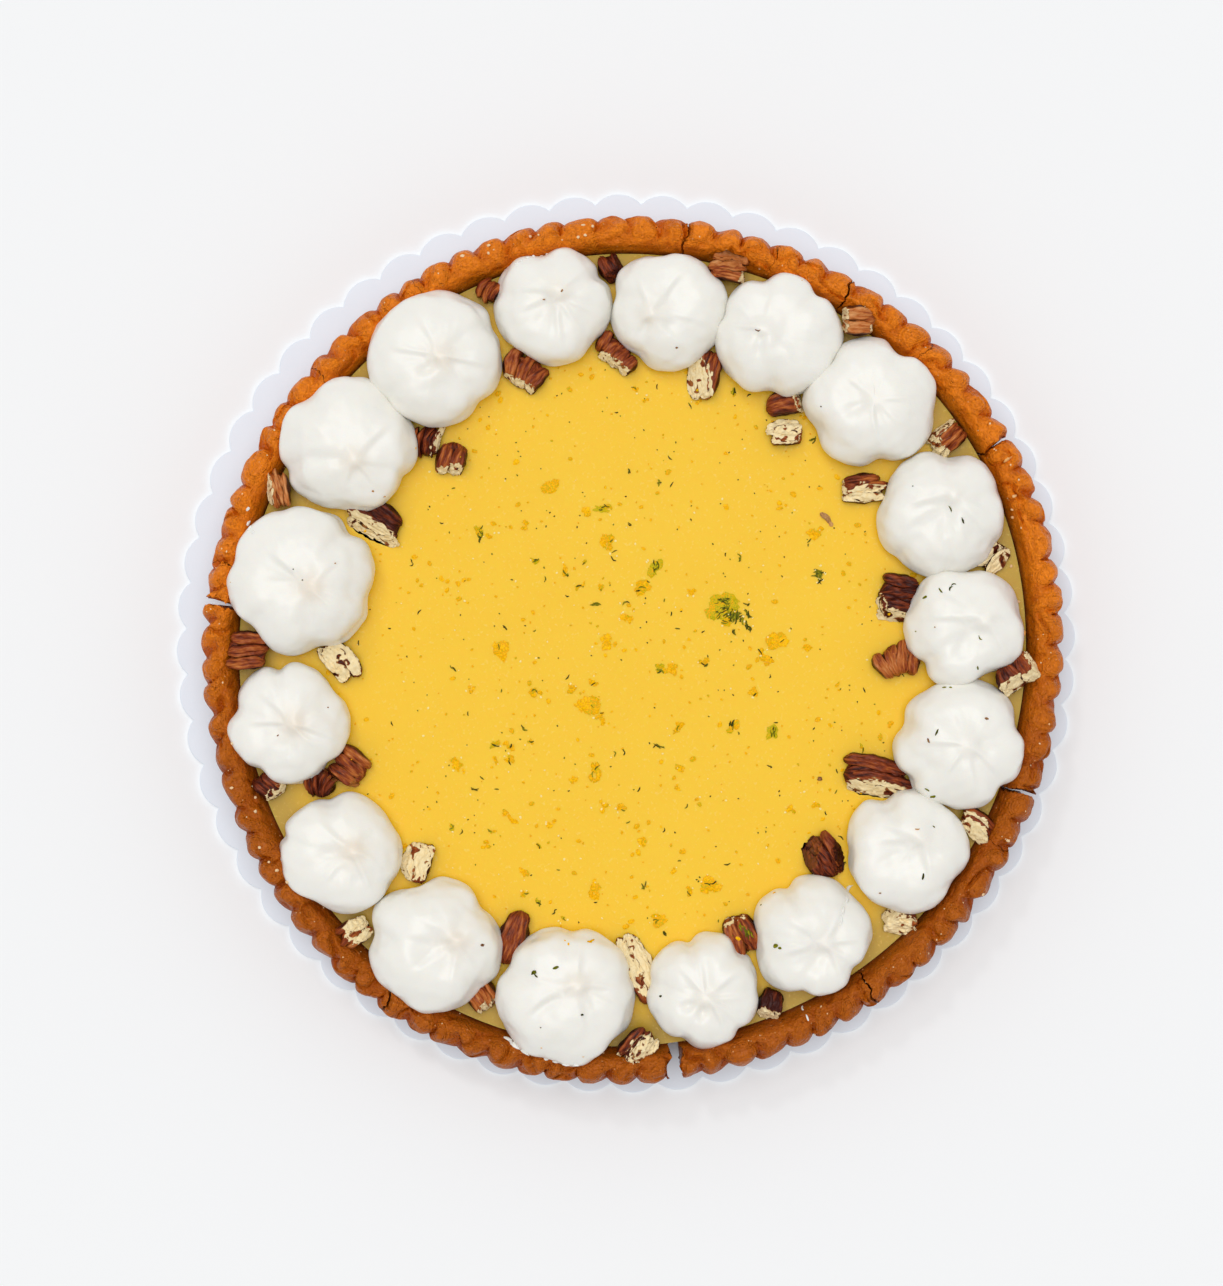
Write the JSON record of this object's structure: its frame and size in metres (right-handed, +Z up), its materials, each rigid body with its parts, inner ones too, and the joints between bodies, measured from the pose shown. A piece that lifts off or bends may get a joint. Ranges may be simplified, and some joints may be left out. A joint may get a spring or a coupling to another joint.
{
  "type": "lemon meringue pie",
  "caption": "Round lemon curd tart in a fluted shortcrust shell, ringed with piped meringue rosettes and broken pecans, on a scalloped card.",
  "frame": {"origin": "centre of the card's underside, on the surface that the pie stands on", "axes": "+Z up, +X to the right and +Y away from the eater as the pie lies before them"},
  "size_m": [0.3, 0.3, 0.0473],
  "materials": {
    "card": "smooth white board",
    "crust": "baked, egg washed pastry",
    "filling": "set lemon curd",
    "meringue": "soft satin, untoasted",
    "pecan": "dry nut skin"
  },
  "bodies": {
    "root": {"card": "card", "crust": "crust", "filling": "filling", "meringue_01": "meringue", "meringue_02": "meringue", "meringue_03": "meringue", "meringue_04": "meringue", "meringue_05": "meringue", "meringue_06": "meringue", "meringue_07": "meringue", "meringue_08": "meringue", "meringue_09": "meringue", "meringue_10": "meringue", "meringue_11": "meringue", "meringue_12": "meringue", "meringue_13": "meringue", "meringue_14": "meringue", "meringue_15": "meringue", "meringue_16": "meringue", "meringue_17": "meringue", "pecan_01": "pecan", "pecan_02": "pecan", "pecan_03": "pecan", "pecan_04": "pecan", "pecan_05": "pecan", "pecan_06": "pecan", "pecan_07": "pecan", "pecan_08": "pecan", "pecan_09": "pecan", "pecan_10": "pecan", "pecan_11": "pecan", "pecan_12": "pecan", "pecan_13": "pecan", "pecan_14": "pecan", "pecan_15": "pecan", "pecan_16": "pecan", "pecan_17": "pecan", "pecan_18": "pecan", "pecan_19": "pecan", "pecan_20": "pecan", "pecan_21": "pecan", "pecan_22": "pecan", "pecan_23": "pecan", "pecan_24": "pecan", "pecan_25": "pecan", "pecan_26": "pecan", "pecan_27": "pecan", "pecan_28": "pecan", "pecan_29": "pecan", "pecan_30": "pecan", "pecan_31": "pecan", "pecan_32": "pecan", "pecan_33": "pecan", "pecan_34": "pecan", "pecan_35": "pecan", "pecan_36": "pecan"}
  },
  "joints": []
}
